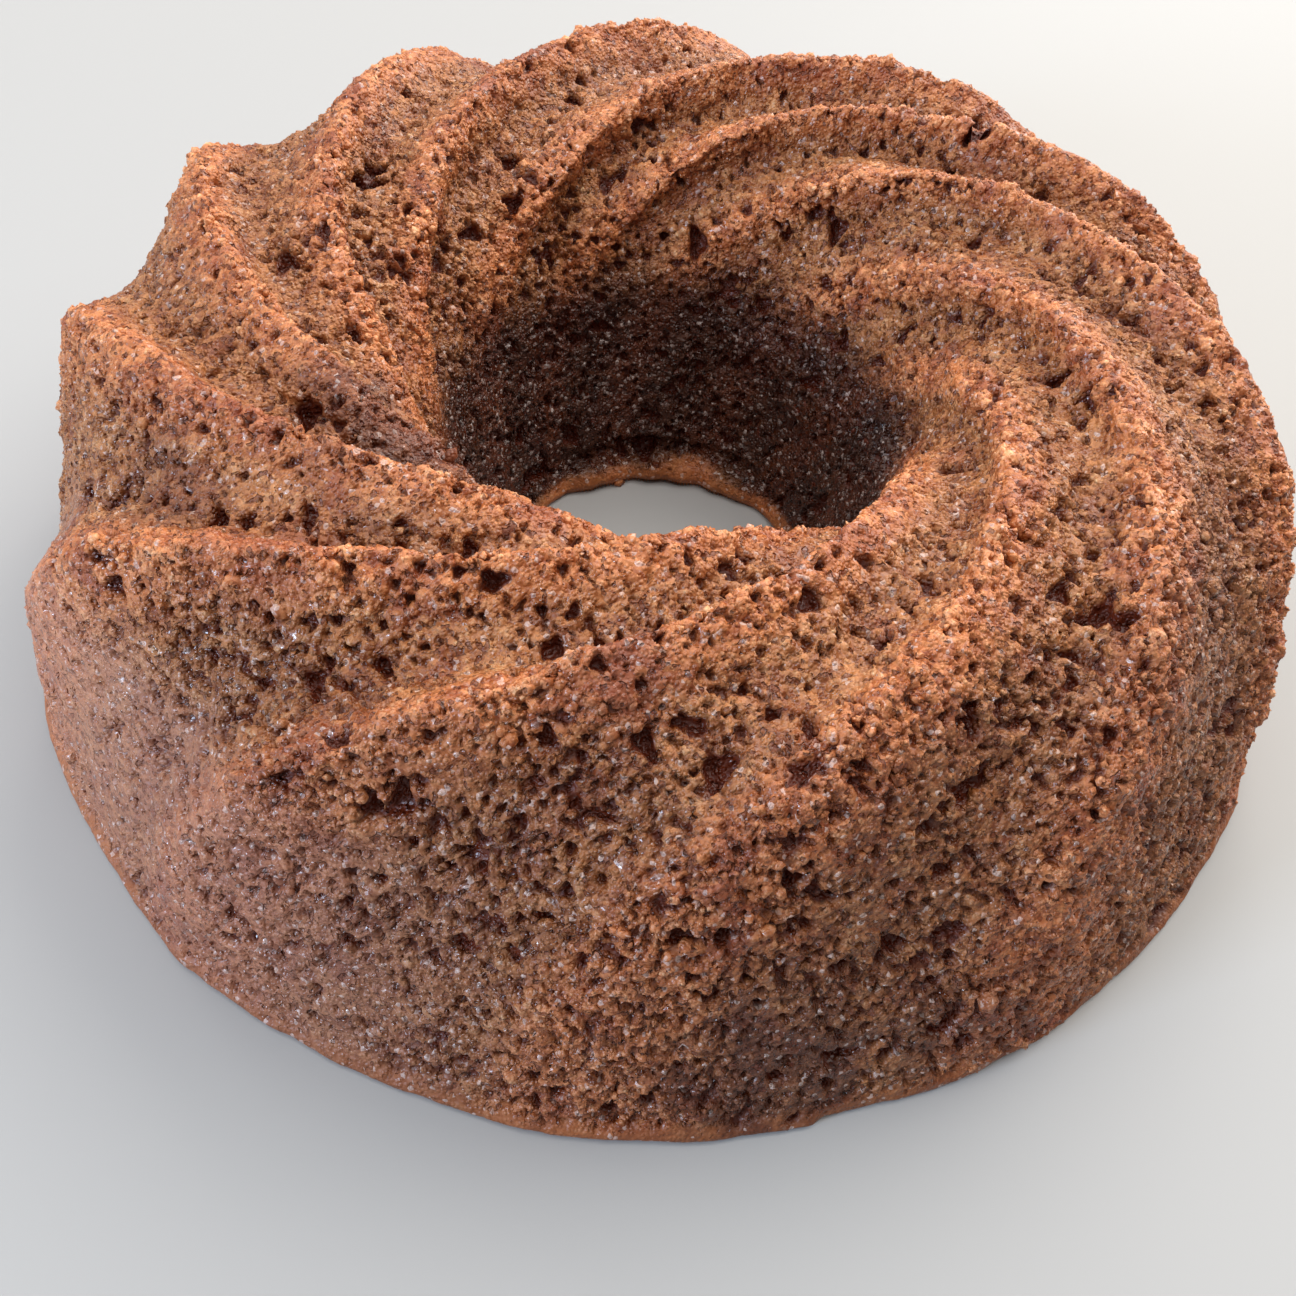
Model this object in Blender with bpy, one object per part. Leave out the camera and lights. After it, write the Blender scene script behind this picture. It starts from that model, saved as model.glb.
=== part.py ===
"""Yogurt ring cake: one uncut swirled ring, baked in a fluted mould and turned out.

The ring is a closed loft. Its section is drawn by two Bezier sides that meet on the
crown. Ridges run along the section and swirl round the axis on the way, so the loft's
own lines follow them and every crest is an edge of the solid.
Units are millimetres and degrees until the points are written, then metres.
"""
import math
from bisect import bisect_right

import bmesh
import bpy
from mathutils import Vector
from mathutils.geometry import interpolate_bezier

MM = 0.001

# Mean section, from the foot of the hole over the crown to the outer foot
HOLE_FOOT_RADIUS = 26.0
MOUTH_HANDLE = (42.5, 56.0)
INNER_HANDLE_RADIUS = 47.0
CROWN_RADIUS = 67.5
CROWN_HEIGHT = 63.0
SHOULDER_HANDLE_RADIUS = 93.0
WALL_HANDLE = (100.0, 46.0)
FOOT_RADIUS = 108.2
SIDE_SAMPLES = 96

# Swirl: the ridges turn clockwise on their way out, most of it across the top
SWIRL_TURN = 138.0
SWIRL_MIDDLE = 68.0
SWIRL_SPREAD = 19.0
FIRST_RIDGE_ANGLE = 46.0

# Ridges: half their depth, where they are deepest, and the valley's place in the pitch
RIDGE_HEIGHT = 3.5
RIDGE_HEIGHT_AT_FEET = 0.45
RIDGE_HEIGHT_SKEW = 1.38
VALLEY_PLACE = 0.68

# The tube is plain up to the first way; the ridges have their full height from the second
PLAIN_TUBE_WAY = 30.0
FULL_RIDGE_WAY = 72.0

# Crests are rounder in the mouth than over the shoulder; the change is between these ways
CREST_SOFTNESS = 0.05
CREST_SOFTNESS_IN_MOUTH = 0.14
SOFT_CREST_WAYS = (50.0, 95.0)

# Each ridge's drift from even spacing, in pitches, and its height against the mean
RIDGE_DRIFT = (-0.11, -0.08, 0.11, 0.02, -0.13, 0.04, 0.08, 0.09, 0.04, 0.02, -0.10)
RIDGE_TALLNESS = (0.62, 0.88, 0.93, 1.07, 1.2, 1.07, 0.98, 0.84, 0.96, 1.15, 1.06)

# The smooth lip that the batter left at the rim of the mould
LIP_HEIGHT = 5.0
LIP_OUT = 1.1
LIP_TUCK = 1.1
LIP_TUCK_HEIGHT = 1.4

# Loft: columns for each ridge, rows up the two lips and rows between them
COLUMNS_PER_RIDGE = 14
LIP_ROW_HEIGHTS = (0.0, 0.5, 1.4, 3.0, 4.4)
MIDDLE_ROWS = 25
CREST_CROWDING = 0.35

CAKE_COLOUR = (0.2, 0.085, 0.035, 1.0)
CAKE_ROUGHNESS = 0.62

RIDGE_COUNT = len(RIDGE_DRIFT)
PITCH = 360.0 / RIDGE_COUNT


def clear_scene():
    for thing in list(bpy.data.objects):
        bpy.data.objects.remove(thing, do_unlink=True)


def smooth_step(x):
    x = min(max(x, 0.0), 1.0)
    return x * x * (3.0 - 2.0 * x)


def section_line():
    """The mean section as points (radius, height) with the way run to each."""
    hole_foot = Vector((HOLE_FOOT_RADIUS, 0.0))
    crown = Vector((CROWN_RADIUS, CROWN_HEIGHT))
    foot = Vector((FOOT_RADIUS, 0.0))
    inner = interpolate_bezier(hole_foot, Vector(MOUTH_HANDLE),
                               Vector((INNER_HANDLE_RADIUS, CROWN_HEIGHT)), crown, SIDE_SAMPLES)
    outer = interpolate_bezier(crown, Vector((SHOULDER_HANDLE_RADIUS, CROWN_HEIGHT)),
                               Vector(WALL_HANDLE), foot, SIDE_SAMPLES)
    points = [p.to_2d() for p in inner] + [p.to_2d() for p in outer[1:]]
    ways = [0.0]
    for a, b in zip(points, points[1:]):
        ways.append(ways[-1] + (b - a).length)
    return points, ways


SECTION_POINTS, SECTION_WAYS = section_line()
SECTION_LENGTH = SECTION_WAYS[-1]


def on_section(way):
    """Point and outward normal of the mean section, a way along it."""
    i = min(max(bisect_right(SECTION_WAYS, way) - 1, 0), len(SECTION_POINTS) - 2)
    a = SECTION_POINTS[i]
    b = SECTION_POINTS[i + 1]
    t = (way - SECTION_WAYS[i]) / (SECTION_WAYS[i + 1] - SECTION_WAYS[i])
    along = (b - a).normalized()
    return a.lerp(b, t), Vector((-along.y, along.x))


def swirl(way):
    """Degrees that a ridge has turned, a way along the section."""
    return SWIRL_TURN * 0.5 * (1.0 + math.tanh((way - SWIRL_MIDDLE) / (2.0 * SWIRL_SPREAD)))


def ridge_height(way):
    arch = math.sin(math.pi * (way / SECTION_LENGTH) ** RIDGE_HEIGHT_SKEW)
    full = RIDGE_HEIGHT_AT_FEET + (RIDGE_HEIGHT - RIDGE_HEIGHT_AT_FEET) * max(arch, 0.0)
    return full * smooth_step((way - PLAIN_TUBE_WAY) / (FULL_RIDGE_WAY - PLAIN_TUBE_WAY))


def crest_softness(way):
    first, last = SOFT_CREST_WAYS
    sharper = smooth_step((way - first) / (last - first))
    return CREST_SOFTNESS_IN_MOUTH + (CREST_SOFTNESS - CREST_SOFTNESS_IN_MOUTH) * sharper


def between_ridges(values, phase):
    """A value of each ridge, blended between neighbours."""
    k = int(math.floor(phase))
    a = values[k % RIDGE_COUNT]
    b = values[(k + 1) % RIDGE_COUNT]
    return a + (b - a) * (phase - k)


def ridge_wave(phase, softness):
    """1 on a crest, -1 in the valley, with a narrow crest and a wide valley."""
    x = phase - math.floor(phase)
    if x < VALLEY_PLACE:
        y = 0.5 * x / VALLEY_PLACE
    else:
        y = 0.5 + 0.5 * (x - VALLEY_PLACE) / (1.0 - VALLEY_PLACE)
    low = math.sqrt(softness)
    high = math.sqrt(1.0 + softness)
    dip = math.sqrt(math.sin(math.pi * y) ** 2 + softness)
    return 1.0 - 2.0 * (dip - low) / (high - low)


def lip(height):
    """How far the lip stands out at a height, less its tucked lower edge."""
    out = LIP_OUT * smooth_step(1.0 - height / LIP_HEIGHT)
    tuck = LIP_TUCK * (1.0 - min(height / LIP_TUCK_HEIGHT, 1.0)) ** 2
    return out - tuck


def cake_point(way, phase):
    """A point of the crust: phase counts ridges round the ring."""
    mean, normal = on_section(way)
    wave = ridge_wave(phase, crest_softness(way))
    rise = ridge_height(way) * between_ridges(RIDGE_TALLNESS, phase) * wave
    rise += lip(mean.y) if mean.y < LIP_HEIGHT else 0.0
    angle = FIRST_RIDGE_ANGLE - swirl(way) + (phase + between_ridges(RIDGE_DRIFT, phase)) * PITCH
    radius = mean.x + normal.x * rise
    height = mean.y + normal.y * rise
    if way <= 0.0 or way >= SECTION_LENGTH:
        height = 0.0
    turn = math.radians(angle)
    return Vector((radius * math.cos(turn), radius * math.sin(turn), max(height, 0.0))) * MM


def way_at_height(height, outside):
    """Where the section stands at a height, on its outer or its hole side."""
    order = range(len(SECTION_POINTS) - 1, -1, -1) if outside else range(len(SECTION_POINTS))
    last = None
    for i in order:
        point = SECTION_POINTS[i]
        if point.y >= height:
            if last is None:
                return SECTION_WAYS[i]
            t = (height - SECTION_POINTS[last].y) / (point.y - SECTION_POINTS[last].y)
            return SECTION_WAYS[last] + (SECTION_WAYS[i] - SECTION_WAYS[last]) * t
        last = i
    return SECTION_WAYS[last]


def row_ways():
    """The loft's rows: close together up each lip, even between them."""
    inside = [way_at_height(h, False) for h in LIP_ROW_HEIGHTS]
    outside = [way_at_height(h, True) for h in reversed(LIP_ROW_HEIGHTS)]
    step = (outside[0] - inside[-1]) / (MIDDLE_ROWS + 1)
    middle = [inside[-1] + step * (i + 1) for i in range(MIDDLE_ROWS)]
    return inside + middle + outside


def column_phases():
    """Phases round the ring, crowded towards each crest."""
    phases = []
    for k in range(RIDGE_COUNT):
        for c in range(COLUMNS_PER_RIDGE):
            x = c / COLUMNS_PER_RIDGE
            crowd = CREST_CROWDING * math.sin(2.0 * math.pi * x) / (2.0 * math.pi)
            phases.append(k + x - crowd)
    return phases


def shortest_split(mesh, face):
    """Cut a four-sided face along its shorter diagonal."""
    a, b, c, d = face.verts
    if (a.co - c.co).length <= (b.co - d.co).length:
        bmesh.utils.face_split(face, a, c)
    else:
        bmesh.utils.face_split(face, b, d)


def loft_crust(mesh):
    """The crust's rows of points and the faces between them."""
    phases = column_phases()
    rows = [[mesh.verts.new(cake_point(way, p)) for p in phases] for way in row_ways()]
    count = len(phases)
    for lower, upper in zip(rows, rows[1:]):
        for j in range(count):
            k = (j + 1) % count
            mesh.faces.new((lower[j], upper[j], upper[k], lower[k]))
    return rows


def close_underside(mesh, rows):
    """The flat underside between the two feet, each point joined to the nearest round."""
    inner = rows[0]
    outer = rows[-1]
    count = len(inner)
    start = math.atan2(inner[0].co.y, inner[0].co.x)
    gaps = []
    for j, vert in enumerate(outer):
        gap = math.atan2(vert.co.y, vert.co.x) - start
        gaps.append((abs((gap + math.pi) % (2.0 * math.pi) - math.pi), j))
    shift = min(gaps)[1]
    for j in range(count):
        k = (j + 1) % count
        mesh.faces.new((inner[j], inner[k], outer[(k + shift) % count], outer[(j + shift) % count]))


def centre_on_origin(mesh):
    """Move the points so that the middle of the box stands over the origin."""
    xs = [v.co.x for v in mesh.verts]
    ys = [v.co.y for v in mesh.verts]
    shift = Vector((-(min(xs) + max(xs)) / 2.0, -(min(ys) + max(ys)) / 2.0, 0.0))
    bmesh.ops.translate(mesh, vec=shift, verts=mesh.verts)


def cake_material():
    material = bpy.data.materials.new("cake_crust")
    material.use_nodes = True
    shader = material.node_tree.nodes["Principled BSDF"]
    shader.inputs["Base Color"].default_value = CAKE_COLOUR
    shader.inputs["Roughness"].default_value = CAKE_ROUGHNESS
    shader.inputs["Metallic"].default_value = 0.0
    material.diffuse_color = CAKE_COLOUR
    return material


def build_cake(collection):
    mesh = bmesh.new()
    rows = loft_crust(mesh)
    close_underside(mesh, rows)
    for face in list(mesh.faces):
        shortest_split(mesh, face)
    centre_on_origin(mesh)
    bmesh.ops.recalc_face_normals(mesh, faces=mesh.faces)
    for face in mesh.faces:
        face.smooth = True
    data = bpy.data.meshes.new("cake")
    mesh.to_mesh(data)
    mesh.free()
    cake = bpy.data.objects.new("cake", data)
    data.materials.append(cake_material())
    collection.objects.link(cake)
    return cake


def main():
    clear_scene()
    part = bpy.data.collections.new("yogurt_ring_cake")
    bpy.context.scene.collection.children.link(part)
    cake = build_cake(part)
    size = cake.dimensions
    print("cake %.1f x %.1f x %.1f mm, %d faces" % (size.x / MM, size.y / MM, size.z / MM,
                                                   len(cake.data.polygons)))


main()
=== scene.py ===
# Yogurt ring cake: swirled crumb crust, the crumbs on it, a pale floor, soft light and the camera
import math

import bpy
import numpy as np
from mathutils import Matrix, Vector, kdtree, noise
from mathutils.geometry import interpolate_bezier


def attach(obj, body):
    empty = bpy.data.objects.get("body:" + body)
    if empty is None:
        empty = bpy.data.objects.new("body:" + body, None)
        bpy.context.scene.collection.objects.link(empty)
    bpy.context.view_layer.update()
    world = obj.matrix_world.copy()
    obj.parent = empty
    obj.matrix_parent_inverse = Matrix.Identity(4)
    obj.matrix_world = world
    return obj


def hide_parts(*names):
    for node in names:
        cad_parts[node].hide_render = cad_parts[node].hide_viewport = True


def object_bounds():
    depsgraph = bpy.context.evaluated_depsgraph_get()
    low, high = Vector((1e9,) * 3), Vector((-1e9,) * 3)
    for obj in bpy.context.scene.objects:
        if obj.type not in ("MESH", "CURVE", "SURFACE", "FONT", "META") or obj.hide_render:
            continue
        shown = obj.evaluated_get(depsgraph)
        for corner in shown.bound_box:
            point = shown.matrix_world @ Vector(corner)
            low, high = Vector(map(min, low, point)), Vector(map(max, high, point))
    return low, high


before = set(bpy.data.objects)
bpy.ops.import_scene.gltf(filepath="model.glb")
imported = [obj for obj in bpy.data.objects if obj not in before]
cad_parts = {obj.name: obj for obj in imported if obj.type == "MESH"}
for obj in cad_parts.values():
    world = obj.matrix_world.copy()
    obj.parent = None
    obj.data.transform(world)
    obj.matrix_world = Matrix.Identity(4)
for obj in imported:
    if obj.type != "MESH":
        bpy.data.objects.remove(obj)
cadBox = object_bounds()
mm = 0.001
low, high = np.array(cadBox[0]) / mm + 0.02, np.array(cadBox[1]) / mm - 0.02  # just inside the solid, mm


# Small helpers

def smoothStep(start, end, x):
    t = np.clip((x - start) / (end - start), 0.0, 1.0)
    return t * t * (3.0 - 2.0 * t)


def band(limits, x):
    # 1 in the middle of a band, fading to 0 at both ends
    start, full, fading, end = limits
    return smoothStep(start, full, x) * (1.0 - smoothStep(fading, end, x))


def deselectAll():
    if bpy.context.object and bpy.context.object.mode != "OBJECT":
        bpy.ops.object.mode_set(mode="OBJECT")
    bpy.ops.object.select_all(action="DESELECT")


def makeActive(piece):
    deselectAll()
    piece.select_set(True)
    bpy.context.view_layer.objects.active = piece


def getPoints(mesh):
    flat = np.empty(len(mesh.vertices) * 3, np.float32)
    mesh.vertices.foreach_get("co", flat)
    return flat.reshape(-1, 3).astype(float)


def setPoints(mesh, points):
    mesh.vertices.foreach_set("co", points.astype(np.float32).ravel())
    mesh.update()


def getNormals(mesh):
    flat = np.empty(len(mesh.vertices) * 3, np.float32)
    mesh.vertex_normals.foreach_get("vector", flat)
    return flat.reshape(-1, 3).astype(float)


def getTriangles(mesh):
    mesh.calc_loop_triangles()
    flat = np.empty(len(mesh.loop_triangles) * 3, np.int32)
    mesh.loop_triangles.foreach_get("vertices", flat)
    return flat.reshape(-1, 3)


def paintValue(mesh, name, values):
    layer = mesh.attributes.get(name) or mesh.attributes.new(name, "FLOAT", "POINT")
    layer.data.foreach_set("value", np.asarray(values, np.float32))


def readValue(mesh, name):
    values = np.empty(len(mesh.vertices), np.float32)
    mesh.attributes[name].data.foreach_get("value", values)
    return values.astype(float)


def placeOnCake(piece):
    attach(piece, "root")
    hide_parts("cake")


# The cake's form: a section carried round the ring, with ridges that swirl

cakeForm = {  # mm and degrees; a way runs along the section from the hole's foot to the outer foot
    "holeSide": ((26.0, 0.0), (42.5, 56.0), (47.0, 63.0), (67.5, 63.0)),
    "outerSide": ((67.5, 63.0), (93.0, 63.0), (100.0, 46.0), (108.2, 0.0)),
    "swirlTurn": 138.0, "swirlMiddle": 68.0, "swirlSpread": 19.0, "firstRidge": 46.0,
    "ridgeHeight": 3.5, "ridgeHeightAtFeet": 0.45, "ridgeSkew": 1.38, "valleyPlace": 0.68,
    "plainTube": 30.0, "fullRidge": 72.0,
    "crestSoftness": 0.05, "mouthSoftness": 0.14, "softWays": (50.0, 95.0),
    "drift": (-0.11, -0.08, 0.11, 0.02, -0.13, 0.04, 0.08, 0.09, 0.04, 0.02, -0.10),
    "tallness": (0.62, 0.88, 0.93, 1.07, 1.2, 1.07, 0.98, 0.84, 0.96, 1.15, 1.06),
    "lipHeight": 5.0, "lipOut": 1.1, "lipTuck": 1.1, "lipTuckHeight": 1.4,
    "roundSteps": 256, "rows": 80, "crustRows": 74, "cuts": 4,
}
rimDetail = {  # the uneven edge that the batter left at the mould's rim
    "stepTurns": (285.2, 286.8, 302.0, 335.0), "stepBack": 1.3,
    "ledgeTurns": (42.0, 66.0, 120.0, 140.0), "ledgeOut": 3.1, "ledgeTop": 3.6,
    "gapDepth": 1.3, "gapHeights": (3.9, 4.9, 6.0, 8.0),
}


def drawSection():
    points = []
    for side in ("holeSide", "outerSide"):
        handles = [Vector(p) for p in cakeForm[side]]
        points += [p[:2] for p in interpolate_bezier(*handles, 160)][len(points) > 0:]
    points = np.array(points)
    steps = np.linalg.norm(np.diff(points, axis=0), axis=1)
    ways = np.concatenate([[0.0], np.cumsum(steps)])
    along = np.gradient(points, ways, axis=0)
    along /= np.linalg.norm(along, axis=1)[:, None]
    return ways, points, along


sectionWays, sectionPoints, sectionAlong = drawSection()
sectionLength = sectionWays[-1]


def swirlAt(way):
    f = cakeForm
    return f["swirlTurn"] * 0.5 * (1.0 + np.tanh((way - f["swirlMiddle"]) / (2.0 * f["swirlSpread"])))


def ridgePhase(way, angle):
    # Counts ridges round the ring at a way along the section and an angle in degrees
    f = cakeForm
    count = len(f["drift"])
    knots = np.arange(count + 1) + np.array(f["drift"] + f["drift"][:1])
    x = (angle - f["firstRidge"] + swirlAt(way)) * count / 360.0
    return np.interp((x - knots[0]) % count + knots[0], knots, np.arange(count + 1))


def ridgeWave(phase, soft):
    # 1 on a crest, -1 in the valley
    x = phase % 1.0
    v = cakeForm["valleyPlace"]
    y = np.where(x < v, 0.5 * x / v, 0.5 + 0.5 * (x - v) / (1.0 - v))
    least, most = np.sqrt(soft), np.sqrt(1.0 + soft)
    return 1.0 - 2.0 * (np.sqrt(np.sin(np.pi * y) ** 2 + soft) - least) / (most - least)


def rimRise(height, angle, outside):
    # How far the lips stand out near the two feet
    f, r = cakeForm, rimDetail
    turn = angle % 360.0
    near = smoothStep(0.0, 1.0, 1.0 - height / f["lipHeight"])
    tuck = f["lipTuck"] * (1.0 - np.clip(height / f["lipTuckHeight"], 0.0, 1.0)) ** 2
    out = f["lipOut"] * near - tuck
    stepped = band(r["stepTurns"], turn)
    ledge = band(r["ledgeTurns"], turn)
    ledge = ledge * (0.85 + 0.15 * np.sin(np.radians(turn * 9.0)) + 0.1 * np.sin(np.radians(turn * 23.0)))
    shelf = r["ledgeOut"] * (1.0 - smoothStep(r["ledgeTop"] - 0.5, r["ledgeTop"] + 0.6, height))
    gap = r["gapDepth"] * band(r["gapHeights"], height)
    return np.where(outside, out - r["stepBack"] * stepped * near, out + ledge * (shelf - gap))


def cakeSurface(way, angle):
    # Points in mm, the ridge wave and the height of the mean section
    f = cakeForm
    radius = np.interp(way, sectionWays, sectionPoints[:, 0])
    height = np.interp(way, sectionWays, sectionPoints[:, 1])
    alongR = np.interp(way, sectionWays, sectionAlong[:, 0])
    alongZ = np.interp(way, sectionWays, sectionAlong[:, 1])
    phase = ridgePhase(way, angle)
    soft = f["mouthSoftness"] + (f["crestSoftness"] - f["mouthSoftness"]) * smoothStep(*f["softWays"], way)
    wave = ridgeWave(phase, soft)
    tall = np.interp(phase, np.arange(len(f["tallness"]) + 1), f["tallness"] + f["tallness"][:1])
    arch = np.clip(np.sin(np.pi * (way / sectionLength) ** f["ridgeSkew"]), 0.0, None)
    ridge = f["ridgeHeightAtFeet"] + (f["ridgeHeight"] - f["ridgeHeightAtFeet"]) * arch
    rise = ridge * smoothStep(f["plainTube"], f["fullRidge"], way) * tall * wave
    rise = rise + rimRise(height, angle, way > sectionLength / 2.0)
    radius = radius - alongZ * rise
    z = np.maximum(height + alongR * rise, 0.0)
    z = np.where((way <= 0.0) | (way >= sectionLength), 0.0, z)
    turn = np.radians(angle)
    return np.stack([radius * np.cos(turn), radius * np.sin(turn), z], axis=-1), wave, height


print("crust: ring primitive, subdivided")
deselectAll()
rounds, rows, cuts = cakeForm["roundSteps"], cakeForm["rows"], cakeForm["cuts"]
tubeMiddle = 0.067
bpy.ops.mesh.primitive_torus_add(major_segments=rounds, minor_segments=rows,
                                 major_radius=tubeMiddle, minor_radius=0.03)
crust = bpy.context.object
crust.name = crust.data.name = "cakeCrown"
bpy.ops.object.mode_set(mode="EDIT")
bpy.ops.mesh.select_all(action="SELECT")
bpy.ops.mesh.subdivide(number_cuts=cuts)
bpy.ops.object.mode_set(mode="OBJECT")

print("crust: section, swirl and ridges")
ring = getPoints(crust.data)
angleOf = np.degrees(np.arctan2(ring[:, 1], ring[:, 0]))
tubeTurn = np.arctan2(ring[:, 2], np.hypot(ring[:, 0], ring[:, 1]) - tubeMiddle) / (2.0 * np.pi)
tubeRow = np.round(tubeTurn % 1.0 * rows, 5) % rows   # from the outer foot over the crown
crustRows = cakeForm["crustRows"]
wayOf = sectionLength * np.clip(1.0 - tubeRow / crustRows, 0.0, 1.0)
onCrust = tubeRow <= crustRows
points, waveOf, heightOf = cakeSurface(wayOf, angleOf)
outerFoot = cakeSurface(np.full_like(wayOf, sectionLength), angleOf)[0]
acrossBase = np.clip((tubeRow - crustRows) / (rows - crustRows), 0.0, 1.0)[:, None]
points = points * (1.0 - acrossBase) + outerFoot * acrossBase
points[:, :2] -= ((points.min(0) + points.max(0)) / 2.0)[:2]
setPoints(crust.data, points * mm)

# Crumb relief and baked holes, in mm
crumbRelief = {  # size of the swells, lumps and grains, and how far each rises
    "swell": (10.0, 0.9), "lump": (3.8, 0.55), "clod": (2.0, 0.32), "grain": (1.1, 0.34),
    "crestRagged": 1.0, "seed": 7, "triangles": 730000,
}
bakedHoles = {  # count, least and most radius, depth for the radius, longest stretch
    "big": (440, 1.0, 2.1, 1.5, 2.0),
    "middling": (5200, 0.5, 1.1, 1.7, 1.8),
    "small": (19000, 0.34, 0.64, 1.9, 1.7),
}


def noiseOver(points, size, octaves=3):
    # Fractal noise at each point, about -1 to 1
    return np.array([noise.fractal(p, 1.0, 2.0, octaves) for p in (points / size).tolist()])


def cellsOver(points, size):
    # 1 in the middle of a crumb cell, 0 at its edge
    gaps = [noise.voronoi(p)[0] for p in (points / size).tolist()]
    return np.clip(np.array([g[1] - g[0] for g in gaps]) * 1.6, 0.0, 1.0)


crustPatches = {  # middle, reach and strength, in mm; painted shade, darker with a purple cast that stands in for cool window light, and crests baked redder
    "paintedShade": (((20.0, -96.0, 12.0), 27.0, 1.0), ((44.0, -86.0, 10.0), 25.0, 0.9),
             ((-37.0, -32.0, 57.0), 20.0, 1.0), ((30.0, 18.0, 60.0), 15.0, 0.6),
             ((-17.0, -82.0, 40.0), 13.0, 0.5), ((35.0, 2.0, 34.0), 19.0, 0.6),
             ((-67.0, -46.0, 55.0), 13.0, 0.5), ((-33.0, -56.0, 58.0), 11.0, 0.4),
             ((-3.0, -75.0, 60.0), 14.0, 0.35)),
    "red": (((-3.0, -76.0, 62.0), 10.0, 1.0), ((-48.0, -61.0, 63.0), 11.0, 0.8),
            ((-66.0, -35.0, 64.0), 8.0, 0.6), ((18.0, -80.0, 50.0), 9.0, 0.6)),
    # strength of the painted shade over the whole front wall
    "frontWallPaintedShade": 0.42,
}


def patchOver(points, patches):
    ragged = 0.35 * noiseOver(points + 15.0, 7.0, 2)
    value = np.zeros(len(points))
    for middle, reach, strength in patches:
        gap = np.linalg.norm(points - middle, axis=1) / reach + ragged
        value = np.maximum(value, strength * (1.0 - smoothStep(0.25, 1.1, gap)))
    return value


crustZones = {  # where a zone fades in and out: turns in degrees, ways and heights in mm
    "leftSide": (192.0, 208.0, 240.0, 268.0), "leftSideWays": (112.0, 126.0),
    "frontWall": (215.0, 240.0, 330.0, 350.0), "frontWallWays": (92.0, 104.0),
    "farCrown": (40.0, 65.0, 120.0, 150.0), "farCrownWays": (48.0, 60.0),
    "tubeWays": (34.0, 48.0), "lipTop": 2.9, "lipUneven": 1.5, "wholeFoot": (1.0, 3.0),
}

normals = getNormals(crust.data)
turnOf = np.degrees(np.arctan2(points[:, 1], points[:, 0])) % 360.0
lipTop = crustZones["lipTop"] + crustZones["lipUneven"] * noiseOver(points * [1.0, 1.0, 0.0] + 30.0, 16.0, 3)
lipZone = np.where(onCrust, 1.0 - smoothStep(lipTop - 0.9, lipTop + 1.1, heightOf), 0.0)
smoothZone = band(crustZones["leftSide"], turnOf) * smoothStep(*crustZones["leftSideWays"], wayOf)
frontWall = band(crustZones["frontWall"], turnOf) * smoothStep(*crustZones["frontWallWays"], wayOf)
farCrown = band(crustZones["farCrown"], turnOf) * smoothStep(*crustZones["farCrownWays"], wayOf)
tubeZone = np.where(onCrust, 1.0 - smoothStep(*crustZones["tubeWays"], wayOf), 0.0)
quiet = np.where(onCrust, np.maximum(lipZone * 0.9, smoothZone * 0.7), 0.8)
coarseZone = smoothStep(-0.25, 0.3, noiseOver(points + 55.0, 12.0, 2))   # crumbly here, plain there
loud = (1.0 - quiet) * (0.55 + 0.45 * coarseZone)

print("crust: crumb relief")
swell = noiseOver(points, crumbRelief["swell"][0])
lump = noiseOver(points + 40.0, crumbRelief["lump"][0])
clod = cellsOver(points + 70.0, crumbRelief["clod"][0]) - 0.6
grain = cellsOver(points, crumbRelief["grain"][0]) - 0.6
crestZone = smoothStep(0.1, 0.9, waveOf) * loud * (1.0 - tubeZone)
ragged = 1.0 + crumbRelief["crestRagged"] * crestZone
local = lump * crumbRelief["lump"][1] * (0.15 + 0.85 * loud) * ragged
local += clod * crumbRelief["clod"][1] * (0.1 + 0.9 * loud) * ragged
local += grain * crumbRelief["grain"][1] * (0.15 + 0.85 * loud)
local *= 1.0 - 0.45 * tubeZone
rise = local + swell * crumbRelief["swell"][1] * (0.3 + 0.7 * loud)

print("crust: baked holes")
rng = np.random.default_rng(crumbRelief["seed"])
tree = kdtree.KDTree(len(points))
for i, p in enumerate(points.tolist()):
    tree.insert(p, i)
tree.balance()

# A vertex stands for the area round it, so holes come out even over the crust
share = np.hypot(points[:, 0], points[:, 1]) * np.where(onCrust, 1.0, 0.35)
share = share * (1.0 - 0.9 * lipZone) * (1.0 - 0.4 * smoothZone) * (1.0 + 0.7 * frontWall)
share = share * (1.0 - 0.45 * farCrown)
share = share * np.clip(0.75 + 0.9 * noiseOver(points + 90.0, 14.0, 2), 0.12, 2.0)
depthOf = np.zeros(len(points))
for kind, (count, least, most, deep, stretch) in bakedHoles.items():
    weight = share.copy()
    if kind == "big":
        weight = weight * (1.0 - smoothZone) * np.clip(0.6 - waveOf * 0.4, 0.15, 1.1)
    if kind == "small":
        weight = weight * (1.0 + 0.9 * smoothZone + 0.4 * frontWall)
    centres = rng.choice(len(points), count, p=weight / weight.sum())
    sizes = least + (most - least) * rng.random(count) ** 1.8
    for centre, size in zip(centres.tolist(), sizes.tolist()):
        found = tree.find_range(points[centre].tolist(), size * stretch * 1.15)
        near = np.array([f[1] for f in found])
        away = points[near] - points[centre]
        normal = normals[centre]
        first = np.cross(normal, rng.normal(size=3))
        first /= np.linalg.norm(first)
        second = np.cross(normal, first)
        longer = 1.0 + (stretch - 1.0) * rng.random() ** 1.5
        a, b = away @ first / longer, away @ second
        wobble = 1.0 + 0.22 * np.sin(3.0 * np.arctan2(b, a) + rng.random() * 6.3)
        t = np.sqrt(a * a + b * b) / (size * wobble)
        dip = size * deep * (0.75 + 0.5 * rng.random()) * (1.0 - smoothStep(0.58, 1.03, t))
        depthOf[near] = np.maximum(depthOf[near], dip)

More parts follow.
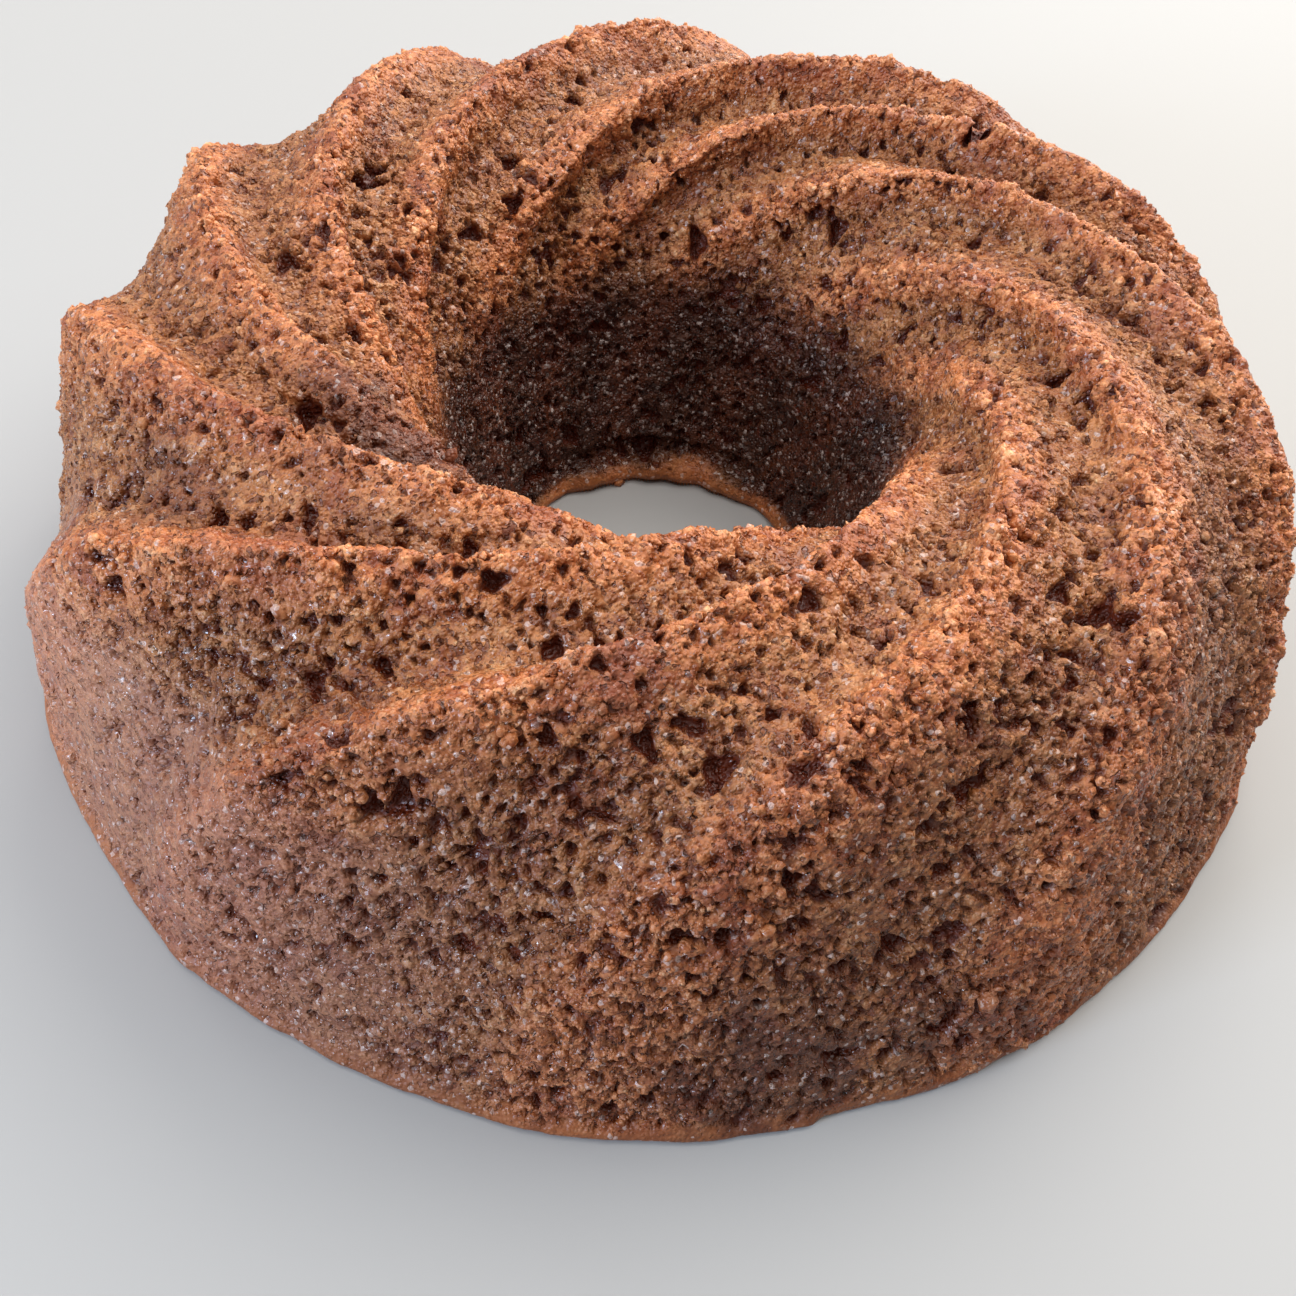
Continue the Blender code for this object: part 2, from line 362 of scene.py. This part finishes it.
depthOf *= np.where(onCrust, smoothStep(*crustZones["wholeFoot"], heightOf), 1.0)
points = np.clip(points + normals * (rise - depthOf)[:, None], low, high)
points[:, 2] = np.where(points[:, 2] < 0.05, 0.0, points[:, 2])
setPoints(crust.data, points * mm)
paintValue(crust.data, "way", np.where(onCrust, wayOf, -1.0))
paintValue(crust.data, "depth", np.clip(depthOf / 2.2, 0.0, 1.0))
paintValue(crust.data, "crest", waveOf * 0.5 + 0.5)
paintValue(crust.data, "raise", np.clip(0.5 + local / 1.8, 0.0, 1.0))
paintValue(crust.data, "own", np.full(len(points), 0.5))
paintValue(crust.data, "lip", lipZone)
paintValue(crust.data, "hollow", tubeZone * (1.0 - lipZone))
paintValue(crust.data, "smooth", smoothZone)
# Painted shade: the patches and the front wall are darkened where they lie in shade
paintedShadeZone = np.maximum(patchOver(points, crustPatches["paintedShade"]), crustPatches["frontWallPaintedShade"] * frontWall)
paintValue(crust.data, "paintedShade", paintedShadeZone)
paintValue(crust.data, "red", patchOver(points, crustPatches["red"]))
paintValue(crust.data, "under", np.where(onCrust, 0.0, 1.0))
paintValue(crust.data, "coarse", coarseZone)

print("crust: fewer faces where it is plain")
makeActive(crust)
thin = crust.modifiers.new("fewerFaces", "DECIMATE")
thin.use_collapse_triangulate = True
thin.ratio = crumbRelief["triangles"] / (len(crust.data.polygons) * 2.0)
bpy.ops.object.modifier_apply(modifier=thin.name)
bpy.ops.object.shade_smooth()
fitted = getPoints(crust.data) / mm
fitted[:, :2] = np.clip(fitted[:, :2], low[:2], high[:2])
fitted[:, 2] = np.clip(fitted[:, 2], 0.0, high[2])
setPoints(crust.data, fitted * mm)


# Crumb finish, shared by the crust and the crumbs

def plug(tree, socket, value):
    if isinstance(value, bpy.types.NodeSocket):
        tree.links.new(value, socket)
    else:
        socket.default_value = value


def mixColours(tree, factor, first, second, blend="MIX"):
    node = tree.nodes.new("ShaderNodeMix")
    node.data_type = "RGBA"
    node.blend_type = blend
    for socket, value in zip((node.inputs[0], node.inputs[6], node.inputs[7]), (factor, first, second)):
        plug(tree, socket, value)
    return node.outputs[2]


def sumUp(tree, operation, *values):
    node = tree.nodes.new("ShaderNodeMath")
    node.operation = operation
    for socket, value in zip(node.inputs, values):
        plug(tree, socket, value)
    return node.outputs[0]


def fade(tree, value, start, end, toStart=0.0, toEnd=1.0):
    node = tree.nodes.new("ShaderNodeMapRange")
    node.interpolation_type = "SMOOTHSTEP"
    for name, number in (("From Min", start), ("From Max", end), ("To Min", toStart), ("To Max", toEnd)):
        node.inputs[name].default_value = number
    plug(tree, node.inputs["Value"], value)
    return node.outputs[0]


def toneRamp(tree, value, stops):
    node = tree.nodes.new("ShaderNodeValToRGB")
    ramp = node.color_ramp
    while len(ramp.elements) < len(stops):
        ramp.elements.new(0.5)
    for element, (place, colour) in zip(ramp.elements, stops):
        element.position = place
        element.color = (*colour, 1.0)
    plug(tree, node.inputs["Fac"], value)
    return node.outputs["Color"]


crumbFinish = {  # colours are linear, sizes in mm
    "tones": ((0.0, (0.1, 0.015, 0.003)), (0.22, (0.24, 0.052, 0.012)), (0.45, (0.4, 0.122, 0.037)),
              (0.65, (0.56, 0.202, 0.074)), (0.83, (0.7, 0.315, 0.142)), (1.0, (0.84, 0.48, 0.26))),
    "toneShift": -0.62, "valleyTint": (0.78, 0.87, 0.86, 1.0), "crestTint": (1.06, 1.0, 0.94, 1.0),
    "redBrown": (0.27, 0.06, 0.026, 1.0), "hole": (0.1, 0.014, 0.003, 1.0),
    "tubeColourAndShade": (0.16, 0.105, 0.08, 1.0), "paintedShadeTint": (0.35, 0.28, 0.31, 1.0),
    "lip": (0.32, 0.09, 0.018, 1.0), "smoothSideAndSheen": (0.42, 0.185, 0.125, 1.0),
    "glint": (0.8, 0.68, 0.63, 1.0), "amber": (0.7, 0.27, 0.085, 1.0),
    "fineGrain": 0.62, "grain": 1.35, "pore": 1.15, "cloud": 2.6, "patch": 9.0,
    "fineTone": 0.3, "grainTone": 0.2, "cloudTone": 0.6, "patchTone": 0.4,
    "crestTone": 0.08, "domeTone": 0.12, "raiseTone": 0.4, "ownTone": 0.2,
    "redMix": 0.7, "amberMix": 0.3, "smoothMix": 0.45, "lipMix": 0.6, "glintMix": 0.34, "poreMix": 0.65,
    "domeHeight": 0.3, "poreHeight": -0.9, "leastRoughness": 0.12,
}


def crumbGroup():
    group = bpy.data.node_groups.new("bakedCrumb", "ShaderNodeTree")
    for name in ("Crest", "Depth", "Raise", "Own", "Lip", "Tube", "Smooth", "PaintedShade", "Red"):
        group.interface.new_socket(name=name, in_out="INPUT", socket_type="NodeSocketFloat")
    for name, kind in (("Colour", "Color"), ("Roughness", "Float"), ("Height", "Float")):
        group.interface.new_socket(name=name, in_out="OUTPUT", socket_type="NodeSocket" + kind)
    given = group.nodes.new("NodeGroupInput").outputs
    out = group.nodes.new("NodeGroupOutput").inputs
    place = group.nodes.new("ShaderNodeTexCoord").outputs["Object"]
    f = crumbFinish

    def noiseAt(size, detail=2.0, rough=0.5):
        node = group.nodes.new("ShaderNodeTexNoise")
        for name, number in (("Scale", 1.0 / (size * mm)), ("Detail", detail), ("Roughness", rough)):
            node.inputs[name].default_value = number
        group.links.new(place, node.inputs["Vector"])
        return node.outputs[0]

    def cellsAt(size):
        node = group.nodes.new("ShaderNodeTexVoronoi")
        node.inputs["Scale"].default_value = 1.0 / (size * mm)
        group.links.new(place, node.inputs["Vector"])
        dome = fade(group, node.outputs["Distance"], 0.0, 0.7, 1.0, 0.0)
        split = group.nodes.new("ShaderNodeSeparateColor")
        group.links.new(node.outputs["Color"], split.inputs[0])
        return dome, split.outputs[0], split.outputs[1]

    def m(operation, *values):
        return sumUp(group, operation, *values)

    fineDome, fineTone, fineShine = cellsAt(f["fineGrain"])
    grainDome, grainTone, grainShine = cellsAt(f["grain"])
    clouds = noiseAt(f["cloud"], 2.0, 0.6)
    patches = noiseAt(f["patch"], 2.0)
    quiet = m("MAXIMUM", given["Lip"], m("MULTIPLY", given["Smooth"], 0.6))
    pores = fade(group, noiseAt(f["pore"], 1.0), 0.4, 0.33)
    pores = m("MULTIPLY", pores, m("MULTIPLY_ADD", quiet, -0.8, 1.0))
    # The dome weight lightens each grain's middle and darkens the gaps between grains, painted shade; the
    # raise weight makes raised relief lighter and dips darker
    tone = m("MULTIPLY_ADD", fineTone, f["fineTone"], m("MULTIPLY", grainTone, f["grainTone"]))
    for value, weight in ((clouds, "cloudTone"), (patches, "patchTone"), (given["Crest"], "crestTone"),
                          (fineDome, "domeTone"), (given["Raise"], "raiseTone"), (given["Own"], "ownTone")):
        tone = m("MULTIPLY_ADD", value, f[weight], tone)
    base = toneRamp(group, m("ADD", tone, f["toneShift"]), f["tones"])
    tint = mixColours(group, fade(group, given["Crest"], 0.1, 0.85), f["valleyTint"], f["crestTint"])
    base = mixColours(group, 1.0, base, tint, "MULTIPLY")
    red = fade(group, patches, 0.45, 0.34)
    red = m("MULTIPLY", red, m("MULTIPLY_ADD", given["Crest"], 0.3, 0.25))
    red = m("MAXIMUM", red, m("MULTIPLY", given["Red"], f["redMix"]))
    base = mixColours(group, red, base, f["redBrown"])
    amber = m("MULTIPLY_ADD", quiet, -f["amberMix"], f["amberMix"])
    amber = m("MULTIPLY", fade(group, grainShine, 0.89, 0.93), amber)
    base = mixColours(group, amber, base, f["amber"])
    # The smoother side turns paler and pinker: partly its own finer crust, partly a painted sheen of the
    # cool window light
    base = mixColours(group, m("MULTIPLY", given["Smooth"], f["smoothMix"]), base, f["smoothSideAndSheen"])
    base = mixColours(group, m("MULTIPLY", given["Lip"], f["lipMix"]), base, f["lip"])
    # The shade patches are painted shade, darker with a purple cast that stands in for cool window light
    # The tube wall is darkened: partly its own moist crust, partly painted shade in the deep hollow
    for zone, tint in (("Tube", "tubeColourAndShade"), ("PaintedShade", "paintedShadeTint")):
        base = mixColours(group, given[zone], base, mixColours(group, 1.0, base, f[tint], "MULTIPLY"))
    glint = fade(group, m("MULTIPLY_ADD", given["Tube"], 0.03, fineShine), 0.952, 0.962)
    base = mixColours(group, m("MULTIPLY", glint, f["glintMix"]), base, f["glint"])
    # Pits and pores turn a deep red-brown: partly the crumb's own colour, partly painted shade in the
    # hollows
    sunken = m("MAXIMUM", m("MULTIPLY", pores, f["poreMix"]), fade(group, given["Depth"], 0.12, 0.7))
    base = mixColours(group, sunken, base, f["hole"])
    group.links.new(base, out["Colour"])

    shine = m("MULTIPLY_ADD", fineTone, 0.35, m("MULTIPLY_ADD", grainShine, 0.2, 0.12))
    shine = m("MULTIPLY_ADD", glint, -0.2, m("MULTIPLY_ADD", given["Lip"], 0.15, shine))
    group.links.new(m("MAXIMUM", shine, f["leastRoughness"]), out["Roughness"])
    # Heights in mm
    height = m("MULTIPLY_ADD", grainDome, f["domeHeight"], m("MULTIPLY", fineDome, f["domeHeight"]))
    height = m("MULTIPLY", height, m("MULTIPLY_ADD", quiet, -0.55, 1.0))
    group.links.new(m("MULTIPLY_ADD", pores, f["poreHeight"], height), out["Height"])
    return group


crumb = crumbGroup()


def bakedMaterial(name, bump):
    material = bpy.data.materials.new(name)
    material.use_nodes = True
    tree = material.node_tree
    shader = tree.nodes["Principled BSDF"]
    shader.inputs["Specular IOR Level"].default_value = 0.5
    group = tree.nodes.new("ShaderNodeGroup")
    group.node_tree = crumb
    for socket, attribute in (("Crest", "crest"), ("Depth", "depth"), ("Raise", "raise"), ("Own", "own"),
                              ("Lip", "lip"), ("Tube", "hollow"), ("Smooth", "smooth"),
                              ("PaintedShade", "paintedShade"), ("Red", "red")):
        layer = tree.nodes.new("ShaderNodeAttribute")
        layer.attribute_name = attribute
        tree.links.new(layer.outputs["Fac"], group.inputs[socket])
    tree.links.new(group.outputs["Colour"], shader.inputs["Base Color"])
    tree.links.new(group.outputs["Roughness"], shader.inputs["Roughness"])
    raised = tree.nodes.new("ShaderNodeBump")
    raised.inputs["Strength"].default_value = bump
    raised.inputs["Distance"].default_value = mm
    tree.links.new(group.outputs["Height"], raised.inputs["Height"])
    tree.links.new(raised.outputs["Normal"], shader.inputs["Normal"])
    return material


crustFinish = bakedMaterial("bakedCrust", 0.9)
crumbsFinish = bakedMaterial("bakedCrumbs", 0.6)

# Crumbs that stand on the crust and half in it: one rough grain, copied, for each size
crumbKinds = {  # count, least and most radius in mm, how far sunk, whether it is an eight-sided grain
    "crumbsFinest": {"count": 10000, "least": 0.22, "most": 0.38, "sunk": 0.35, "angular": True, "seed": 20},
    "crumbsFine": {"count": 21000, "least": 0.32, "most": 0.52, "sunk": 0.55, "angular": True, "seed": 21},
    "crumbsMiddle": {"count": 19000, "least": 0.45, "most": 0.72, "sunk": 0.7, "angular": True, "seed": 22},
    "crumbsCoarse": {"count": 6500, "least": 0.62, "most": 1.0, "sunk": 0.8, "angular": False, "seed": 23},
    "crumbsLumps": {"count": 1100, "least": 0.9, "most": 1.45, "sunk": 0.9, "angular": False, "seed": 24},
}


def roughGrain(angular):
    deselectAll()
    if angular:   # a four-sided point, mirrored below its open foot
        bpy.ops.mesh.primitive_cone_add(vertices=4, radius1=1.0, radius2=0.0, depth=1.0,
                                        end_fill_type="NOTHING", location=(0.0, 0.0, 0.5))
        bpy.ops.object.transform_apply(location=True)
        ball = bpy.context.object
        below = ball.modifiers.new("below", "MIRROR")
        below.use_axis = (False, False, True)
        bpy.ops.object.modifier_apply(modifier=below.name)
    else:
        bpy.ops.mesh.primitive_ico_sphere_add(subdivisions=1, radius=1.0)
    ball = bpy.context.object
    corners, faces = getPoints(ball.data), getTriangles(ball.data)
    bpy.data.objects.remove(ball)
    print("grain with", len(faces), "faces")
    return corners, faces


crustPoints = getPoints(crust.data) / mm
crustFaces = getTriangles(crust.data)
crumbLayers = ("depth", "crest", "raise", "lip", "hollow", "smooth", "paintedShade", "red")
crustLayers = {n: readValue(crust.data, n)[crustFaces].mean(1) for n in crumbLayers + ("under", "coarse")}


def scatterCrumbs(name, kind):
    corners, faces = roughGrain(kind["angular"])
    rng = np.random.default_rng(kind["seed"])
    count, layers = kind["count"], crustLayers
    a, b, c = (crustPoints[crustFaces[:, i]] for i in range(3))
    cross = np.cross(b - a, c - a)
    area = np.linalg.norm(cross, axis=1)
    wanted = area * np.clip(1.0 - layers["depth"] * 2.5, 0.0, 1.0)
    wanted = wanted * (1.0 - 0.95 * layers["lip"]) * (1.0 - 0.75 * layers["smooth"])
    wanted = wanted * (1.0 - layers["under"])
    wanted = wanted * (0.4 + 0.9 * layers["crest"]) * (1.0 - 0.7 * layers["hollow"])
    wanted = wanted * (0.3 + 0.7 * layers["coarse"])
    chosen = rng.choice(len(crustFaces), count, p=wanted / wanted.sum())
    u, v = rng.random(count), rng.random(count)
    flip = u + v > 1.0
    u, v = np.where(flip, 1.0 - u, u), np.where(flip, 1.0 - v, v)
    middles = a[chosen] + (b - a)[chosen] * u[:, None] + (c - a)[chosen] * v[:, None]
    normal = cross[chosen] / area[chosen][:, None]
    size = kind["least"] + (kind["most"] - kind["least"]) * rng.random(count) ** 1.6
    middles = middles - normal * (size * kind["sunk"])[:, None]
    turned = np.linalg.qr(rng.normal(size=(count, 3, 3)))[0]
    turned[:, :, 0] *= np.sign(np.linalg.det(turned))[:, None]   # turned, never mirrored
    stretch = 0.75 + 0.5 * rng.random((count, 1, 3))
    shape = corners[None] * (1.0 + 0.56 * (rng.random((count, len(corners), 1)) - 0.5))
    placed = np.einsum("nij,nkj->nki", turned, shape * stretch) * size[:, None, None] + middles[:, None, :]
    placed = np.clip(placed.reshape(-1, 3), low, high)
    allFaces = (faces[None] + (np.arange(count) * len(corners))[:, None, None]).reshape(-1, 3)
    mesh = bpy.data.meshes.new(name)
    mesh.from_pydata((placed * mm).tolist(), [], allFaces.tolist())
    piece = bpy.data.objects.new(name, mesh)
    bpy.context.scene.collection.objects.link(piece)
    own = rng.random(count)
    for layer in crumbLayers:
        values = layers[layer][chosen]
        if layer == "raise":
            values = 0.5 + 0.5 * values
        paintValue(mesh, layer, np.repeat(values * (0.3 if layer == "depth" else 1.0), len(corners)))
    paintValue(mesh, "own", np.repeat(own, len(corners)))
    makeActive(piece)
    bpy.ops.object.shade_smooth()
    mesh.materials.append(crumbsFinish)
    placeOnCake(piece)


for name, kind in crumbKinds.items():
    print("crumbs:", name)
    scatterCrumbs(name, kind)

# The crust is parted along rings and one line across, edge to edge
print("crust: parted into its pieces")
crustParts = {  # from and to a way in mm, from and to a turn in degrees
    "cakeUnderside": (-2.0, -0.5, 0.0, 360.0),
    "cakeMouth": (-0.5, 59.0, 0.0, 360.0),
    "cakeWallFront": (97.5, 999.0, 180.0, 360.0),
    "cakeWallBack": (97.5, 999.0, 0.0, 180.0),
}


def partCrust(name, fromWay, toWay, fromTurn, toTurn):
    mesh = crust.data
    corners = getTriangles(mesh)
    way = readValue(mesh, "way")[corners].min(1)
    middle = getPoints(mesh)[corners].mean(1)
    turn = np.degrees(np.arctan2(middle[:, 1], middle[:, 0])) % 360.0
    wanted = (way >= fromWay) & (way < toWay) & (turn >= fromTurn) & (turn < toTurn)
    makeActive(crust)
    bpy.ops.object.mode_set(mode="EDIT")
    bpy.ops.mesh.select_mode(type="FACE")
    bpy.ops.mesh.select_all(action="DESELECT")
    bpy.ops.object.mode_set(mode="OBJECT")
    mesh.polygons.foreach_set("select", wanted)
    bpy.ops.object.mode_set(mode="EDIT")
    bpy.ops.mesh.separate(type="SELECTED")
    bpy.ops.object.mode_set(mode="OBJECT")
    piece = [o for o in bpy.context.selected_objects if o != crust][0]
    piece.name = piece.data.name = name
    return piece


crustPieces = [partCrust(name, *span) for name, span in crustParts.items()] + [crust]
for piece in crustPieces:
    for layer in ("way", "under", "coarse"):
        piece.data.attributes.remove(piece.data.attributes[layer])
    piece.data.materials.append(crustFinish)
    placeOnCake(piece)
    print(piece.name, len(piece.data.polygons), "faces")

# Floor, light and camera
studio = {  # places in metres, powers in watts
    "lightAim": (0.0, 0.0, 0.03),
    "floorColour": (0.38, 0.375, 0.367, 1.0), "worldColour": (0.97, 0.98, 1.0, 1.0), "worldStrength": 0.36,
    "skyLight": {"at": (-0.15, 0.35, 1.0), "size": 2.0, "power": 20.0, "colour": (1.0, 0.98, 0.95)},
    "backLight": {"at": (0.65, 0.75, 0.75), "size": 1.5, "power": 24.0, "colour": (1.0, 0.96, 0.9)},
    "leftWindow": {"at": (-0.8, -0.6, 0.35), "size": 0.27, "power": 10.0, "colour": (0.56, 0.74, 1.0)},
}
deselectAll()
bpy.ops.mesh.primitive_plane_add(size=6.0, location=(0.0, 0.0, 0.0))
floor = bpy.context.object
floor.name = "paleFloor"
paint = bpy.data.materials.new("paleFloor")
paint.use_nodes = True
paint.node_tree.nodes["Principled BSDF"].inputs["Base Color"].default_value = studio["floorColour"]
paint.node_tree.nodes["Principled BSDF"].inputs["Roughness"].default_value = 0.6
floor.data.materials.append(paint)

world = bpy.data.worlds.new("softRoom")
bpy.context.scene.world = world
world.use_nodes = True
world.node_tree.nodes["Background"].inputs["Color"].default_value = studio["worldColour"]
world.node_tree.nodes["Background"].inputs["Strength"].default_value = studio["worldStrength"]

for name in ("skyLight", "backLight", "leftWindow"):
    lamp = studio[name]
    bpy.ops.object.light_add(type="AREA", location=lamp["at"])
    light = bpy.context.object
    light.name = name
    light.data.size = lamp["size"]
    light.data.energy = lamp["power"]
    light.data.color = lamp["colour"]
    towards = Vector(studio["lightAim"]) - Vector(lamp["at"])
    light.rotation_euler = towards.to_track_quat("-Z", "Y").to_euler()

cameraView = {"lens": 38.83, "elevation": 50.32, "roll": 5.16, "distance": 0.2508,
              "target": (0.00006, -0.0193, 0.0)}
raised, roll = math.radians(cameraView["elevation"]), math.radians(cameraView["roll"])
look = Vector((0.0, math.cos(raised), -math.sin(raised)))
right = Vector((1.0, 0.0, 0.0))
upward = right.cross(look)
sideAxis = right * math.cos(roll) + upward * math.sin(roll)
upAxis = upward * math.cos(roll) - right * math.sin(roll)
bpy.ops.object.camera_add()
camera = bpy.context.object
camera.data.lens = cameraView["lens"]
camera.data.sensor_width = 36.0
camera.data.clip_start = 0.01
spot = Vector(cameraView["target"]) - look * cameraView["distance"]
camera.matrix_world = Matrix.Translation(spot) @ Matrix((sideAxis, upAxis, -look)).transposed().to_4x4()
bpy.context.scene.camera = camera
bpy.context.scene.view_settings.view_transform = "Standard"

deselectAll()
print("solids", [tuple(round(v / mm, 2) for v in c) for c in cadBox])
